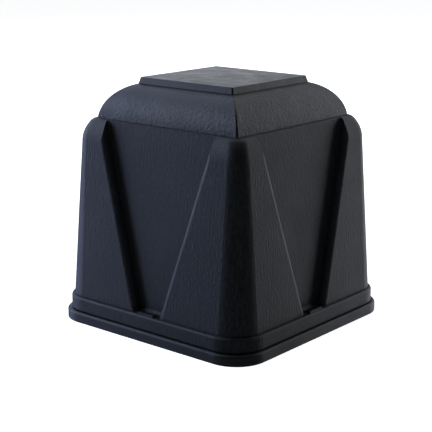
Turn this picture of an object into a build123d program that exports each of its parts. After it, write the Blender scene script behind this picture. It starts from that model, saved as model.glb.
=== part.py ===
from build123d import *
from math import asin, atan, cos, radians, sin, sqrt
import os

# A fence post cap moulded in black plastic, made of three main mouldings that stack on +Z:
# a base frame that is fixed to the top of the post, a tall hood that drops over it and snaps
# onto four latch fingers, and a roof lid with a flat top plate screwed to the hood from inside.
# Millimetres, +Z up, origin at the centre of the base frame's underside.

# ---------------------------------------------------------------- driving dimensions
wall = 2.5               # wall of every moulding
bury = 0.5               # how far two joined shapes of one moulding run into each other

post_width = 89.0        # a dressed four-inch post
post_clearance = 1.0     # all round, between the post and the socket

base_half = 65.0         # half the width of the base frame
base_height = 5.6
base_corner = 17.4       # plan radius of the base frame's corners
base_edge = 1.5          # rounding of its top edge
base_foot_edge = 0.25    # rounding of its bottom edge
rim_width = 4.4

socket_wall = 2.5
socket_top = 30.0
socket_corner = 3.0
socket_hole_radius = 2.25
socket_hole_z = 21.0
socket_hole_offset = 22.0
gusset_offset = 34.0
gusset_thickness = 2.0
gusset_height = 7.0

seam_gap = 0.8           # dark line between base frame and hood
land_width = 1.2         # narrow land that keeps the seam open
land_inset = 0.95        # how far it stands behind the collar's outer face
land_clearance = 0.1
rib_thickness = 1.2      # upstanding rib that centres the hood
rib_clearance = 0.35
rib_top_gap = 0.6        # between the rib and the underside of the collar's top

collar_inset = 1.65      # hood collar stands back from the base frame
collar_top = 13.5
collar_edge = 1.4        # rounding of the collar's top edge

hood_top_z = 109.0       # level ledge round the roof lid
face_inset = 1.95        # buttress faces stand back from the collar
face_slope = 0.0731      # inward lean of the faces, per unit of height
face_corner_low = 14.9   # plan radius of the hood's corners above the collar
face_corner_high = 8.2   # the same, where the shoulder starts
shoulder_drop = 11.9     # the faces start to round over this far below the ledge
shoulder_radius = 20.0   # long arc of the shoulder
shoulder_edge = 4.5      # tighter arc that ends it at the ledge
shoulder_corner = 5.0    # plan radius of the corners where the shoulder ends
shoulder_end_angle = 82  # degrees from upright where the tighter arc stops
shoulder_allowance = 0.02  # the shoulder stands this far out so that it crosses the faces cleanly
lid_rebate = 1.0         # the roof lid sits this deep in the ledge
rebate_clearance = 0.1

panel_setback = 4.8      # recessed panel, behind the buttress faces, at the collar
panel_slope = 0.0758
recess_half_low = 7.6    # half width of the recess at the collar
recess_half_high = 37.0  # half width of the recess at the deck
recess_edge = 3.0        # rounding of the recess's outer edges
recess_crease = 0.8      # rounding along the foot of the recess's side walls
panel_foot = 2.0         # rounding where the panel meets the collar

slot_half = 5.5          # release slot behind the collar, one on each side
slot_depth = 3.2
slot_outset = 0.15       # the slot reaches this far into the collar's wall
lip_height = 1.2         # lip in front of the slot
lip_thickness = 1.4
lip_end_gap = 0.3

finger_half = 4.8        # latch fingers
finger_thickness = 1.6
finger_setback = 0.3     # fingers stand behind the rib's outer face
finger_top = 10.8
finger_rib_gap = 2.2
foot_bead = 1.1          # round root that each finger flexes about
foot_clearance = 0.1
hook_reach = 1.3
hook_low = 8.4
hook_high = 10.4
hook_nose = 0.6          # upright nose below its slope
hook_end_gap = 0.4       # the hook is this much narrower than the finger at each end
catch_depth = 0.9
catch_clearance = 0.2

deck_opening_half = 30.0
deck_opening_corner = 4.0
stop_rib_offset = 18.0
stop_rib_thickness = 2.0
stop_rib_depth = 7.5     # how far the ribs that stop the post hang below the deck

ledge_width = 2.0        # ledge between a panel's top and the roof lid
roof_radius = 21.1       # quarter-round of the roof lid
roof_start_angle = 4.9   # degrees from upright at the roof's lower edge
roof_height = 18.6
roof_mitre = 0.9         # rounding of the roof's four mitred corners
skirt_clearance = 0.3
skirt_thickness = 2.0
skirt_depth = 2.2

screw_inset = 10.6       # lid screws, one near each corner of the roof
screw_shank_radius = 1.45
screw_head_radius = 3.0
screw_head_height = 2.2
screw_length = 11.0
screw_clearance_radius = 1.75
boss_radius = 3.8
boss_hole_extra = 2.0
recess_drive_half = 0.5
recess_drive_depth = 1.2

plate_gap = 0.1          # fine line between roof lid and top plate
plate_overhang = 0.2
plate_draft = 0.9        # inward lean of the plate's sides
plate_height = 3.3
plate_corner = 0.8       # rounding of its four corners
plate_crown = 0.8        # rise of the shallow four-sided point
plate_thickness = 2.0
plate_seat_inset = 2.4
plate_rim = 2.5
peg_offset = 20.0
peg_radius = 2.0
peg_clearance = 0.2
peg_barb = 0.5
peg_barb_height = 1.4
peg_tip = 1.2

# ---------------------------------------------------------------- worked-out dimensions
post_half = post_width / 2
socket_half = post_half + post_clearance
rim_inner_half = base_half - rim_width
collar_bottom = base_height + seam_gap
collar_half = base_half - collar_inset
collar_corner = base_corner
collar_inner_half = collar_half - wall
collar_inner_corner = collar_corner - wall
face_half_low = collar_half - face_inset
panel_half_low = face_half_low - panel_setback
panel_half_high = panel_half_low - panel_slope * (hood_top_z - collar_top)
shoulder_z = hood_top_z - shoulder_drop
deck_z = hood_top_z - lid_rebate
rib_half = collar_inner_half - rib_clearance
rib_corner = collar_inner_corner - rib_clearance
rib_top = collar_top - wall - rib_top_gap
finger_outer = rib_half - finger_setback
finger_inner = finger_outer - finger_thickness
finger_middle = (finger_outer + finger_inner) / 2
pivot_z = wall + foot_clearance + foot_bead
catch_low = hook_low - catch_clearance
catch_high = hook_high + 2 * catch_clearance
slot_outer = collar_inner_half + slot_outset
slot_inner = slot_outer - slot_depth
deck_under_z = deck_z - wall
post_stop_z = deck_under_z - stop_rib_depth
roof_half = panel_half_high - ledge_width
roof_top_z = deck_z + roof_height
roof_under_z = roof_top_z - wall
roof_centre_half = roof_half - roof_radius * cos(radians(roof_start_angle))
roof_centre_z = deck_z - roof_radius * sin(radians(roof_start_angle))
roof_flat_half = roof_centre_half + sqrt(roof_radius ** 2 - (roof_top_z - roof_centre_z) ** 2)
screw_offset = roof_half - screw_inset
plate_low_z = roof_top_z + plate_gap
plate_top_z = plate_low_z + plate_height
plate_half_low = roof_flat_half + plate_overhang
plate_half_high = plate_half_low - plate_draft

sides = {"front": 0, "right": 90, "back": 180, "left": 270}


# ---------------------------------------------------------------- shared shapes
def rounded_slab(half, corner, z_low, z_high):
    """Square slab with rounded plan corners."""
    outline = RectangleRounded(2 * half, 2 * half, corner)
    return Pos(0, 0, z_low) * extrude(outline, z_high - z_low)


def square_ring(outer_half, inner_half, outer_corner, inner_corner, z_low, z_high):
    """Square frame with rounded corners inside and out."""
    outer = rounded_slab(outer_half, outer_corner, z_low, z_high)
    return outer - rounded_slab(inner_half, inner_corner, z_low - 1, z_high + 1)


def block(x_low, x_high, y_low, y_high, z_low, z_high):
    """Plain box from its six limits."""
    box = Box(x_high - x_low, y_high - y_low, z_high - z_low)
    return Pos((x_low + x_high) / 2, (y_low + y_high) / 2, (z_low + z_high) / 2) * box


def peg(x, y, radius, z_low, z_high):
    """Upright cylinder from one height to another."""
    return Pos(x, y, (z_low + z_high) / 2) * Cylinder(radius, z_high - z_low)


def corner_points(offset):
    """The four plan positions that repeat a corner detail."""
    return [(offset * x, offset * y) for x in (-1, 1) for y in (-1, 1)]


def all_sides(shape):
    """Copies of a front detail on all four sides."""
    return [Rot(0, 0, turn) * shape for turn in sides.values()]


def rounded_stack(levels, ruled):
    """Solid through rounded squares, each given as height, half width and corner radius."""
    outlines = [Pos(0, 0, z) * RectangleRounded(2 * half, 2 * half, corner) for z, half, corner in levels]
    return loft(outlines, ruled=ruled)


# ---------------------------------------------------------------- base frame
def base_frame():
    rim = square_ring(base_half, rim_inner_half, base_corner, base_corner - rim_width, 0, base_height)
    rim = fillet(outline_edges(rim, base_height, base_half, base_corner), base_edge)
    rim = fillet(outline_edges(rim, 0, base_half, base_corner), base_foot_edge)
    inside = rim_inner_half + bury
    floor = square_ring(inside, socket_half, base_corner - rim_width, socket_corner, 0, wall)
    land_half = collar_half - land_inset
    land_corner = collar_corner - land_inset
    land = square_ring(land_half, land_half - land_width, land_corner, land_corner - land_width,
                       base_height - bury, collar_bottom - land_clearance)
    rib = square_ring(rib_half, rib_half - rib_thickness, rib_corner, rib_corner - rib_thickness,
                      wall - bury, rib_top)
    socket = square_ring(socket_half + socket_wall, socket_half, socket_corner + socket_wall,
                         socket_corner, wall - bury, socket_top)
    frame = rim + floor + land + rib + socket
    gusset = block(-gusset_thickness / 2, gusset_thickness / 2, -rib_half + rib_thickness / 2,
                   -socket_half - socket_wall / 2, wall - bury, wall + gusset_height)
    for offset in (-gusset_offset, gusset_offset):
        for piece in all_sides(Pos(offset, 0, 0) * gusset):
            frame += piece
    notch_half = finger_half + finger_rib_gap
    notch = block(-notch_half, notch_half, -rim_inner_half, -rib_half + 2 * rib_thickness,
                  wall, rib_top + 1)
    for piece in all_sides(notch):
        frame -= piece
    hole = Rot(90, 0, 0) * Cylinder(socket_hole_radius, 4 * socket_wall)
    hole = Pos(0, -socket_half - socket_wall / 2, socket_hole_z) * hole
    for offset in (-socket_hole_offset, socket_hole_offset):
        for piece in all_sides(Pos(offset, 0, 0) * hole):
            frame -= piece
    return frame


def outline_edges(solid, z, half, corner):
    """Edges of a solid that run along a rounded square outline at one height."""
    found = []
    for edge in solid.edges():
        box = edge.bounding_box()
        flat = abs(box.min.Z - z) < 0.01 and abs(box.max.Z - z) < 0.01
        middle = edge.position_at(0.5)
        reach = max(abs(middle.X), abs(middle.Y))
        arc_reach = half - corner * (1 - cos(radians(45)))
        if flat and reach > arc_reach - 0.05:
            found.append(edge)
    return found


# ---------------------------------------------------------------- latch fingers
def latch_finger():
    """Front finger: round root, upright blade, and a hook that faces outward."""
    root = Pos(0, -finger_middle, pivot_z) * Rot(0, 90, 0) * Cylinder(foot_bead, 2 * finger_half)
    blade = block(-finger_half, finger_half, -finger_outer, -finger_inner, pivot_z, finger_top)
    tip = -finger_outer - hook_reach
    with BuildSketch(Plane.YZ) as profile:
        with BuildLine():
            Polyline((-finger_outer + bury, hook_low), (tip, hook_low), (tip, hook_low + hook_nose),
                     (-finger_outer, hook_high), (-finger_outer + bury, hook_high), close=True)
        make_face()
    hook = extrude(profile.sketch, finger_half - hook_end_gap, both=True)
    return root + blade + hook


# ---------------------------------------------------------------- hood
def shoulder_arcs(offset, steps):
    """Rounded squares up the shoulder's long arc and up its edge arc, moved inward by an offset."""
    start = atan(face_slope)
    start_half = face_half_low - face_slope * (shoulder_z - collar_top)
    long_half = start_half - shoulder_radius * cos(start)
    long_z = shoulder_z - shoulder_radius * sin(start)
    edge_z = hood_top_z - shoulder_edge
    change = asin((edge_z - long_z) / (shoulder_radius - shoulder_edge))
    edge_half = long_half + (shoulder_radius - shoulder_edge) * cos(change)
    end = radians(shoulder_end_angle)
    change_corner = (face_corner_high + shoulder_corner) / 2
    arcs = [(long_half, long_z, shoulder_radius, start, change, face_corner_high, change_corner),
            (edge_half, edge_z, shoulder_edge, change, end, change_corner, shoulder_corner)]
    found = []
    for centre_half, centre_z, radius, first, last, corner_low, corner_high in arcs:
        levels = []
        for step in range(steps + 1):
            share = step / steps
            angle = first + (last - first) * share
            corner = corner_low + (corner_high - corner_low) * share - offset
            levels.append((centre_z + (radius - offset) * sin(angle),
                           centre_half + (radius - offset) * cos(angle), max(corner, 0.6)))
        found.append(levels)
    return found


def face_level(offset, z):
    """Rounded square of the leaning faces at one height, moved inward by an offset."""
    rise = z - collar_top
    taper = (face_corner_low - face_corner_high) / (shoulder_z - collar_top)
    half = face_half_low - face_slope * rise - offset / cos(atan(face_slope))
    return z, half, max(face_corner_low - taper * rise - offset, 0.6)


def hood_body(offset):
    """Leaning faces and shoulder as one solid, moved inward by an offset."""
    long_arc, edge_arc = shoulder_arcs(offset, 4)
    body = rounded_stack([face_level(offset, collar_top - offset), long_arc[0]], True)
    return body + rounded_stack(long_arc, False) + rounded_stack(edge_arc, False)


def recess(grow):
    """Wedge that sinks a panel into the front face, grown on every side by a wall."""
    low = collar_top - grow
    high = hood_top_z + 12
    rise = (recess_half_high - recess_half_low) / (deck_z - collar_top)
    spread = grow * sqrt(1 + rise * rise)
    low_half = recess_half_low + spread - rise * grow
    high_half = recess_half_low + spread + rise * (high - collar_top)
    front = make_face(Polyline((-low_half, low), (low_half, low), (high_half, high),
                               (-high_half, high), close=True))
    front = extrude(Plane.XZ * front, base_half + 10)
    low_panel = panel_half_low - grow + panel_slope * grow
    high_panel = panel_half_low - grow - panel_slope * (high - collar_top)
    side = make_face(Polyline((-low_panel, low), (-base_half - 10, low), (-base_half - 10, high),
                              (-high_panel, high), close=True))
    side = extrude(Plane.YZ * side, base_half, both=True)
    return front & side


def recess_edges(solid):
    """Long outer edges of the four recesses, left and right of each panel."""
    rise = (recess_half_high - recess_half_low) / (deck_z - collar_top)
    found = []
    for edge in solid.edges():
        middle = edge.position_at(0.5)
        near = min(abs(middle.X), abs(middle.Y))
        far = max(abs(middle.X), abs(middle.Y))
        span = edge.bounding_box()
        side_half = recess_half_low + rise * (middle.Z - collar_top)
        panel_half = panel_half_low - panel_slope * (middle.Z - collar_top)
        if abs(near - side_half) < 0.3 and far > panel_half + 0.8 and span.max.Z - span.min.Z > 1:
            found.append(edge)
    return found


def recess_creases(solid):
    """Long inner edges of the four recesses, where a panel meets its side walls."""
    rise = (recess_half_high - recess_half_low) / (deck_z - collar_top)
    found = []
    for edge in solid.edges():
        middle = edge.position_at(0.5)
        near = min(abs(middle.X), abs(middle.Y))
        far = max(abs(middle.X), abs(middle.Y))
        span = edge.bounding_box()
        side_half = recess_half_low + rise * (middle.Z - collar_top)
        panel_half = panel_half_low - panel_slope * (middle.Z - collar_top)
        if abs(near - side_half) < 0.3 and abs(far - panel_half) < 0.1 and span.max.Z - span.min.Z > 1:
            found.append(edge)
    return found


def recessed_faces():
    """Square-cornered body with the hood's leaning faces, run on past its shoulder, and recessed."""
    levels = []
    for z in (collar_top, hood_top_z + shoulder_edge):
        levels.append((z, face_level(0, z)[1], recess_edge))
    body = rounded_stack(levels, True)
    for piece in all_sides(recess(0)):
        body -= piece
    body = fillet(recess_edges(body), recess_edge)
    return fillet(recess_creases(body), recess_crease)


def panel_foot_cove():
    """Hollow rounding between the foot of the front panel and the collar's top."""
    centre_half = panel_half_low + panel_foot
    centre_z = collar_top + panel_foot
    middle = panel_foot * cos(radians(45))
    low = (-centre_half, collar_top)
    high = (-panel_half_low + panel_slope * panel_foot, centre_z)
    inner = -panel_half_low + panel_foot / 2 + bury
    outline = [ThreePointArc(low, (-centre_half + middle, centre_z - middle), high),
               Polyline(high, (inner, centre_z), (inner, collar_top - bury),
                        (-centre_half, collar_top - bury), low)]
    profile = make_face(outline)
    return extrude(Plane.YZ * profile, recess_half_low + panel_foot, both=True)


def stop_ribs():
    """Crossed ribs under the deck that rest on the end of the post."""
    reach = face_half_low
    half = stop_rib_thickness / 2
    rib = block(stop_rib_offset - half, stop_rib_offset + half, -reach, reach, post_stop_z, deck_z)
    ribs = None
    for piece in all_sides(rib):
        ribs = piece if ribs is None else ribs + piece
    return ribs


def hood_shell():
    outer = hood_body(-shoulder_allowance) & recessed_faces()
    collar = rounded_slab(collar_half, collar_corner, collar_bottom, collar_top)
    collar = fillet(outline_edges(collar, collar_top, collar_half, collar_corner), collar_edge)
    outside = outer + collar
    for piece in all_sides(panel_foot_cove()):
        outside += piece
    inside = hood_body(wall) - rounded_slab(face_half_low, 1.0, deck_under_z, hood_top_z + 1)
    for piece in all_sides(recess(wall)):
        inside -= piece
    collar_void = rounded_slab(collar_inner_half, collar_inner_corner, collar_bottom - 1,
                               collar_top - wall)
    shell = outside - collar_void - inside
    shell += stop_ribs() & inside
    lip_half = slot_half - lip_end_gap
    lip = block(-lip_half, lip_half, -slot_outer - lip_thickness, -slot_outer,
                collar_top - collar_edge, collar_top + lip_height)
    slot = block(-slot_half, slot_half, -slot_outer, -slot_inner, collar_top - wall - 1,
                 collar_top + lip_height)
    catch = block(-slot_half, slot_half, -collar_inner_half - catch_depth, -collar_inner_half + 1,
                  catch_low, catch_high)
    for piece in all_sides(lip):
        shell += piece
    for piece in all_sides(slot):
        shell -= piece
    for piece in all_sides(catch):
        shell -= piece
    shell -= roof_dome(-rebate_clearance, deck_z, roof_top_z)
    shell -= rounded_slab(deck_opening_half, deck_opening_corner, deck_under_z - 1, deck_z + 1)
    for x, y in corner_points(screw_offset):
        shell -= peg(x, y, screw_clearance_radius, deck_under_z - 1, deck_z + 1)
    return shell


# ---------------------------------------------------------------- roof lid
def roof_dome(offset, low, high):
    """Quarter-round roof with mitred corners, moved inward by an offset."""
    radius = roof_radius - offset
    first = asin((low - roof_centre_z) / radius)
    last = asin(min((high - roof_centre_z) / radius, 1))
    middle = (first + last) / 2
    right = [(roof_centre_half + radius * cos(a), roof_centre_z + radius * sin(a))
             for a in (first, middle, last)]
    left = [(-x, z) for x, z in reversed(right)]
    outline = [Line(left[-1], right[0]), ThreePointArc(*right), Line(right[-1], left[0]),
               ThreePointArc(*left)]
    profile = make_face(outline)
    front = extrude(Plane.XZ * profile, roof_half + 1, both=True)
    side = extrude(Plane.YZ * profile, roof_half + 1, both=True)
    return front & side


def roof_mitres(solid):
    """The four mitred corner edges of the roof."""
    found = []
    for edge in solid.edges():
        middle = edge.position_at(0.5)
        span = edge.bounding_box()
        if abs(abs(middle.X) - abs(middle.Y)) < 0.1 and span.max.Z - span.min.Z > roof_height / 2:
            found.append(edge)
    return found


def roof_lid():
    lid = roof_dome(0, deck_z, roof_top_z)
    lid = fillet(roof_mitres(lid), roof_mitre) - roof_dome(wall, deck_z + wall, roof_under_z)
    skirt_half = deck_opening_half - skirt_clearance
    skirt_corner = deck_opening_corner - skirt_clearance
    floor_z = deck_z + wall
    lid += rounded_slab(skirt_half, skirt_corner, deck_z - skirt_depth, floor_z)
    lid -= rounded_slab(skirt_half - skirt_thickness, skirt_corner - skirt_thickness,
                        deck_z - skirt_depth - 1, floor_z + 1)
    for x, y in corner_points(screw_offset):
        lid += peg(x, y, boss_radius, deck_z, roof_top_z) & roof_dome(wall / 2, deck_z, roof_top_z)
    for x, y in corner_points(screw_offset):
        top = deck_under_z + screw_length + boss_hole_extra
        lid -= peg(x, y, screw_shank_radius, deck_z - 1, top)
    for x, y in corner_points(peg_offset):
        lid -= peg(x, y, peg_radius + peg_clearance, roof_under_z - 1, roof_top_z + 1)
    return lid


# ---------------------------------------------------------------- top plate
def plate_corners(solid):
    """The four slanted corner edges of the plate's sides."""
    found = []
    for edge in solid.edges():
        middle = edge.position_at(0.5)
        span = edge.bounding_box()
        upright = span.max.Z - span.min.Z > plate_height / 2
        if upright and min(abs(middle.X), abs(middle.Y)) > plate_half_high - 0.1:
            found.append(edge)
    return found


def top_plate():
    """Tapered plate with a shallow four-sided point, on four barbed pegs."""
    base = Pos(0, 0, plate_low_z) * Rectangle(2 * plate_half_low, 2 * plate_half_low)
    upper = Pos(0, 0, plate_top_z) * Rectangle(2 * plate_half_high, 2 * plate_half_high)
    plate = loft([base, upper], ruled=True)
    tip = Pos(0, 0, plate_top_z + plate_crown) * Rectangle(0.02, 0.02)
    plate += loft([upper, tip], ruled=True)
    plate = fillet(plate_corners(plate), plate_corner)
    seat = rounded_slab(plate_half_low - plate_seat_inset, 1.0, roof_top_z, plate_low_z + 0.5)
    plate += seat
    plate -= rounded_slab(plate_half_low - plate_seat_inset - plate_rim, 1.0, roof_top_z - 1,
                          plate_top_z - plate_thickness)
    for x, y in corner_points(peg_offset):
        barb_high = roof_under_z - peg_clearance
        barb_low = barb_high - peg_barb_height
        plate += peg(x, y, peg_radius, barb_low, plate_top_z - plate_thickness / 2)
        barb = Cone(peg_radius - peg_barb, peg_radius + peg_barb, barb_high - barb_low + peg_tip)
        plate += Pos(x, y, (barb_high + barb_low - peg_tip) / 2) * barb
    return plate


# ---------------------------------------------------------------- lid screws
def lid_screw(x, y):
    """Pan-head self-tapping screw, head down, with a cross recess."""
    head_low = deck_under_z - screw_head_height
    head = peg(x, y, screw_head_radius, head_low, deck_under_z)
    head = fillet(head.edges().filter_by(GeomType.CIRCLE).sort_by(Axis.Z)[0], screw_head_height / 3)
    screw = head + peg(x, y, screw_shank_radius, deck_under_z - 0.2, deck_under_z + screw_length)
    drive = screw_head_radius * 0.6
    for turn in (0, 90):
        slit = Box(2 * drive, 2 * recess_drive_half, 2 * recess_drive_depth)
        screw -= Pos(x, y, head_low) * Rot(0, 0, turn) * slit
    return screw


if __name__ == "__main__":
    os.makedirs("parts", exist_ok=True)
    pieces = {"base_frame": base_frame()}
    finger = latch_finger()
    for side, turn in sides.items():
        pieces["latch_" + side] = Rot(0, 0, turn) * finger
    pieces["hood_shell"] = hood_shell()
    pieces["roof_lid"] = roof_lid()
    pieces["top_plate"] = top_plate()
    for number, (x, y) in enumerate(corner_points(screw_offset), start=1):
        pieces["lid_screw_" + str(number)] = lid_screw(x, y)
    for name, piece in pieces.items():
        export_step(piece, "parts/" + name + ".step")
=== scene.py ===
import bpy
import math
from mathutils import Matrix, Vector

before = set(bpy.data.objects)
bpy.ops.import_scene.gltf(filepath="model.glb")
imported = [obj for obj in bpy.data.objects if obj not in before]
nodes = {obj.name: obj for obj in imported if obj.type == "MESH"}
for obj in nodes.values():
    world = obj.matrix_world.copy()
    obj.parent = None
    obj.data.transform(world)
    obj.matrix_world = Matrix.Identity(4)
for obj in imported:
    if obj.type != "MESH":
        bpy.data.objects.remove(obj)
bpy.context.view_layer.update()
scene = bpy.context.scene
scene.view_settings.view_transform = "Standard"


# ---------------------------------------------------------------- camera
# A long lens a little above the cap's roof, turned towards one corner so that two faces of
# the square show about equally, as a product picture is taken.
camera_azimuth = math.radians(39.78)
camera_pitch = math.radians(14.19)
camera_roll = math.radians(0.17)
camera_distance = 0.6354
camera_lens = 97.76
camera_sensor = 36.0
camera_near_limit = 0.01
camera_target = Vector((-0.0030, -0.0025, 0.0541))


def direction(azimuth, elevation):
    """Unit vector from the cap, with azimuth 0 towards its front and 90 degrees to its right."""
    level = math.cos(elevation)
    return Vector((math.sin(azimuth) * level, -math.cos(azimuth) * level, math.sin(elevation)))


camera_away = direction(camera_azimuth, camera_pitch)
camera_data = bpy.data.cameras.new("camera")
camera_data.lens = camera_lens
camera_data.sensor_width = camera_sensor
camera_data.clip_start = camera_near_limit
camera = bpy.data.objects.new("camera", camera_data)
scene.collection.objects.link(camera)
camera.location = camera_target + camera_away * camera_distance
aim = camera_away.to_track_quat("Z", "Y").to_matrix()
camera.rotation_euler = (Matrix.Rotation(camera_roll, 3, camera_away) @ aim).to_euler()
scene.camera = camera


# ---------------------------------------------------------------- base frame
# The square frame that is screwed to the top of the post, with the socket that the post fills.
# Injection moulded in black plastic; the mould's milled sides leave faint level lines.
class Value:
    """A socket of a shader tree; Python's operators on it add Math nodes."""

    def __init__(self, finish, socket):
        self.finish = finish
        self.socket = socket

    def math(self, operation, first, second):
        return self.finish.add("ShaderNodeMath", {"operation": operation}, {0: first, 1: second})

    def __add__(self, other):
        return self.math("ADD", self, other)

    def __radd__(self, other):
        return self.math("ADD", other, self)

    def __sub__(self, other):
        return self.math("SUBTRACT", self, other)

    def __rsub__(self, other):
        return self.math("SUBTRACT", other, self)

    def __mul__(self, other):
        return self.math("MULTIPLY", self, other)

    def __rmul__(self, other):
        return self.math("MULTIPLY", other, self)

    def __gt__(self, other):
        return self.math("GREATER_THAN", self, other)

    def __abs__(self):
        return self.math("ABSOLUTE", self, 0.0)


class Finish:
    """A finish in the making: its material, its shader and the nodes that feed it."""

    def __init__(self, name):
        self.material = bpy.data.materials.new(name)
        self.material.use_nodes = True
        self.nodes = self.material.node_tree.nodes
        self.links = self.material.node_tree.links
        self.shader = self.nodes["Principled BSDF"]

    def feed(self, socket, value):
        if isinstance(value, Value):
            self.links.new(value.socket, socket)
        else:
            socket.default_value = value

    def add(self, kind, settings, inputs, output=0):
        """Any node: its settings first, then its sockets' values or links."""
        node = self.nodes.new(kind)
        for name, setting in settings.items():
            setattr(node, name, setting)
        for name, value in inputs.items():
            self.feed(node.inputs[name], value)
        return Value(self, node.outputs[output])

    def shade(self, **inputs):
        for name, value in inputs.items():
            self.feed(self.shader.inputs[name.replace("_", " ")], value)

    def place(self):
        """Where a point lies on the cap, in metres."""
        return self.add("ShaderNodeTexCoord", {}, {}, "Object")

    def noise(self, place, cells, detail, roughness=0.55):
        """Noise with so many cells to the metre along each axis."""
        scaled = self.add("ShaderNodeVectorMath", {"operation": "MULTIPLY"}, {0: place, 1: cells})
        sockets = {"Vector": scaled, "Scale": 1.0, "Detail": detail, "Roughness": roughness}
        return self.add("ShaderNodeTexNoise", {}, sockets)

    def between(self, value, span, low=0.0, high=1.0):
        """Moves a value that lies within a span to between low and high."""
        sockets = {"Value": value, "From Min": span[0], "From Max": span[1], "To Min": low, "To Max": high}
        return self.add("ShaderNodeMapRange", {}, sockets)

    def blend(self, share, first, second):
        """Colour between two colours."""
        return self.add("ShaderNodeMix", {"data_type": "RGBA"}, {0: share, 6: first, 7: second}, 2)

    def bump(self, height, depth):
        """Relief of a given depth in metres, fed to the shader's normal."""
        self.shade(Normal=self.add("ShaderNodeBump", {}, {"Height": height, "Distance": depth}))


wide_span = (0.3, 0.7)      # nearly all of a noise's values
middle_span = (0.35, 0.65)  # its middle values, for more contrast

plastic_dark = (0.0010, 0.0016, 0.0022, 1.0)
plastic_light = (0.0060, 0.0072, 0.0086, 1.0)

frame_plastic = Finish("frame_plastic")
place = frame_plastic.place()
lines = frame_plastic.noise(place, (40.0, 40.0, 2200.0), detail=2.0)
haze = frame_plastic.noise(place, (60.0, 60.0, 60.0), detail=3.0)
line_share = frame_plastic.between(lines, wide_span)
frame_plastic.shade(
    Base_Color=frame_plastic.blend(line_share, plastic_dark, plastic_light),
    Roughness=frame_plastic.between(haze, wide_span, low=0.50, high=0.58),
)
frame_plastic.bump(lines, depth=0.00005)


def dress(names, finish):
    """Gives each named node one finish."""
    for name in names:
        slots = nodes[name].data.materials
        slots.clear()
        slots.append(finish.material)


dress(["base_frame"], frame_plastic)


# ---------------------------------------------------------------- latch fingers
# Four tongues inside the base frame that hook into pockets in the hood's collar. Unfilled
# black plastic from a polished cavity, a little glossier, with a faint orange peel.
latch_plastic = Finish("latch_plastic")
place = latch_plastic.place()
peel = latch_plastic.noise(place, (700.0, 700.0, 700.0), detail=2.0)
latch_dark = (0.010, 0.010, 0.011, 1.0)
latch_light = (0.018, 0.018, 0.020, 1.0)
latch_plastic.shade(
    Base_Color=latch_plastic.blend(peel, latch_dark, latch_light),
    Roughness=latch_plastic.between(peel, wide_span, low=0.24, high=0.32),
)
latch_plastic.bump(peel, depth=0.00003)
dress(["latch_front", "latch_right", "latch_back", "latch_left"], latch_plastic)


# ---------------------------------------------------------------- hood shell
# The tall cover with a sunk V-shaped panel on each side, one moulding in black plastic.
# Its faces carry an upright wood-like grain, cut in the mould, that runs up each side.
hood_plastic = Finish("hood_plastic")
place = hood_plastic.place()
facing = hood_plastic.add("ShaderNodeTexCoord", {}, {}, "Normal")


def part_of(finish, vector, axis):
    """One coordinate of a vector."""
    return finish.add("ShaderNodeSeparateXYZ", {}, {0: vector}, axis)


facing_x = part_of(hood_plastic, facing, "X")
facing_y = part_of(hood_plastic, facing, "Y")
sideways = abs(facing_x) > abs(facing_y)
along_y = sideways * part_of(hood_plastic, place, "Y")
along_x = (1.0 - sideways) * part_of(hood_plastic, place, "X")
grain_sockets = {"X": along_y + along_x, "Y": sideways, "Z": part_of(hood_plastic, place, "Z")}
grain_place = hood_plastic.add("ShaderNodeCombineXYZ", {}, grain_sockets)
short_grain = hood_plastic.noise(grain_place, (950.0, 7.0, 420.0), detail=2.0)
long_grain = hood_plastic.noise(grain_place, (850.0, 5.0, 60.0), detail=2.0)
grain = short_grain * 0.7 + long_grain * 0.3
grain_share = hood_plastic.between(grain, middle_span)
haze = hood_plastic.noise(place, (45.0, 45.0, 45.0), detail=3.0)
hood_plastic.shade(
    Base_Color=hood_plastic.blend(grain_share, plastic_dark, plastic_light),
    Roughness=hood_plastic.between(haze, wide_span, low=0.53, high=0.59),
)
hood_plastic.bump(grain, depth=0.0002)
dress(["hood_shell"], hood_plastic)


# ---------------------------------------------------------------- lid screws
# Four pan-head self-tapping screws that hold the roof lid from inside the hood.
# Zinc-plated steel, with fine turning marks and a faint yellow tint.
screw_steel = Finish("screw_steel")
place = screw_steel.place()
turning = screw_steel.noise(place, (300.0, 300.0, 6000.0), detail=2.0)
tint = screw_steel.noise(place, (500.0, 500.0, 500.0), detail=2.0)
zinc_grey = (0.62, 0.63, 0.65, 1.0)
zinc_yellow = (0.72, 0.70, 0.62, 1.0)
screw_steel.shade(
    Base_Color=screw_steel.blend(tint, zinc_grey, zinc_yellow),
    Metallic=1.0,
    Roughness=screw_steel.between(turning, wide_span, low=0.26, high=0.42),
)
screw_steel.bump(turning, depth=0.00002)
dress(["lid_screw_1", "lid_screw_2", "lid_screw_3", "lid_screw_4"], screw_steel)


# ---------------------------------------------------------------- roof lid
# The domed roof, held down on the hood by the four screws. Moulded in the same black plastic
# in a spark-eroded mould, which leaves a fine mottled grain with small bright flecks.
roof_plastic = Finish("roof_plastic")
place = roof_plastic.place()
mottle = roof_plastic.noise(place, (560.0, 560.0, 560.0), detail=3.0, roughness=0.6)
mottle_share = roof_plastic.between(mottle, middle_span)
patches = roof_plastic.noise(place, (110.0, 110.0, 110.0), detail=3.0)
specks = roof_plastic.noise(place, (1300.0, 1300.0, 1300.0), detail=1.0)
fleck_span = (0.62, 0.72)
fleck_strength = 0.5
fleck_colour = (0.045, 0.047, 0.052, 1.0)
fleck_share = roof_plastic.between(specks, fleck_span) * fleck_strength
roof_shade = roof_plastic.blend(mottle_share, plastic_dark, plastic_light)
roof_plastic.shade(
    Base_Color=roof_plastic.blend(fleck_share, roof_shade, fleck_colour),
    Roughness=roof_plastic.between(patches, wide_span, low=0.42, high=0.50),
)
roof_plastic.bump(mottle, depth=0.00021)
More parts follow.
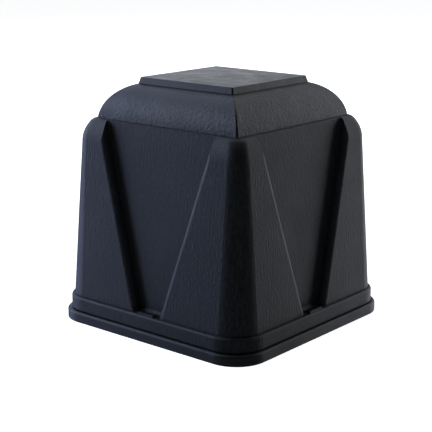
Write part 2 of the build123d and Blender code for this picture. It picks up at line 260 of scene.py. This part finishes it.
dress(["roof_lid"], roof_plastic)


# ---------------------------------------------------------------- top plate
# The square plate that closes the roof, pressed in on four barbed pegs. Black plastic with
# a coarser drawn-out grain on its four shallow facets.
plate_plastic = Finish("plate_plastic")
place = plate_plastic.place()
streaks = plate_plastic.noise(place, (260.0, 1100.0, 400.0), detail=4.0, roughness=0.6)
streak_share = plate_plastic.between(streaks, middle_span)
patches = plate_plastic.noise(place, (130.0, 130.0, 130.0), detail=3.0)
plate_plastic.shade(
    Base_Color=plate_plastic.blend(streak_share, plastic_dark, plastic_light),
    Roughness=plate_plastic.between(patches, wide_span, low=0.36, high=0.48),
)
plate_plastic.bump(streaks, depth=0.00012)
dress(["top_plate"], plate_plastic)


# ---------------------------------------------------------------- floor
# A wide sheet of matt white board, lit from below as on a light table, so that it fills the
# view to the brim, and four walls of the same board far off for the views from lower down.
board_half = 6.0
wall_height = 6.0
white_board = Finish("white_board")
white_board.shade(
    Base_Color=(0.85, 0.85, 0.85, 1.0),
    Roughness=0.9,
    Emission_Color=(1.0, 1.0, 1.0, 1.0),
    Emission_Strength=0.95,
)


def board(name, points, faces):
    """Flat white boards that the black plastic doesn't mirror."""
    data = bpy.data.meshes.new(name)
    data.from_pydata(points, [], faces)
    data.materials.append(white_board.material)
    item = bpy.data.objects.new(name, data)
    scene.collection.objects.link(item)
    item.visible_glossy = False
    return item


corners = [(-board_half, -board_half), (board_half, -board_half),
           (board_half, board_half), (-board_half, board_half)]
low_corners = [(x, y, 0.0) for x, y in corners]
high_corners = [(x, y, wall_height) for x, y in corners]
board("floor", low_corners, [(0, 1, 2, 3)])
wall_faces = [(0, 1, 5, 4), (1, 2, 6, 5), (2, 3, 7, 6), (3, 0, 4, 7)]
walls = board("walls", low_corners + high_corners, wall_faces)
walls.visible_diffuse = False
walls.visible_shadow = False


# ---------------------------------------------------------------- studio
# Large soft panels: cool ones on the left, neutral ones on the right, behind and above, which
# the black plastic mirrors, and a dim room, which its rounded corner mirrors.
world = bpy.data.worlds.new("studio")
world.use_nodes = True
scene.world = world
room = world.node_tree.nodes["Background"]
room.inputs["Color"].default_value = (0.50, 0.80, 1.0, 1.0)
room.inputs["Strength"].default_value = 0.025
cool = (0.52, 0.61, 1.0)
pale_blue = (0.62, 0.71, 1.0)
neutral = (0.90, 0.93, 1.0)
light_aim = Vector((0.0, 0.0, 0.06))


def softbox(name, azimuth, elevation, distance, width, height, radiance, colour):
    """Rectangular soft light, at angles in degrees, that looks at the cap's middle."""
    away = direction(math.radians(azimuth), math.radians(elevation))
    light = bpy.data.lights.new(name, "AREA")
    light.shape = "RECTANGLE"
    light.size = width
    light.size_y = height
    light.color = colour
    light.energy = radiance * math.pi * width * height
    lamp = bpy.data.objects.new(name, light)
    scene.collection.objects.link(lamp)
    lamp.location = light_aim + away * distance
    lamp.rotation_euler = away.to_track_quat("Z", "Y").to_euler()


softbox("left_low", -70.0, -13.0, 1.2, 1.0, 0.65, 2.55, cool)
softbox("left_middle", -68.0, 18.0, 1.2, 1.0, 0.8, 4.1, pale_blue)
softbox("left_top", -90.0, 42.0, 1.2, 1.4, 0.6, 1.7, pale_blue)
softbox("right_low", 165.0, -13.0, 1.2, 1.0, 0.65, 1.85, neutral)
softbox("right_middle", 166.0, 15.0, 1.2, 1.0, 0.7, 2.0, neutral)
softbox("right_top", 188.0, 40.0, 1.2, 1.0, 0.6, 0.8, neutral)
softbox("back_panel", 230.0, 14.0, 1.4, 0.8, 0.5, 1.5, neutral)
softbox("top_panel", 220.0, 75.0, 1.3, 1.2, 1.2, 0.6, neutral)
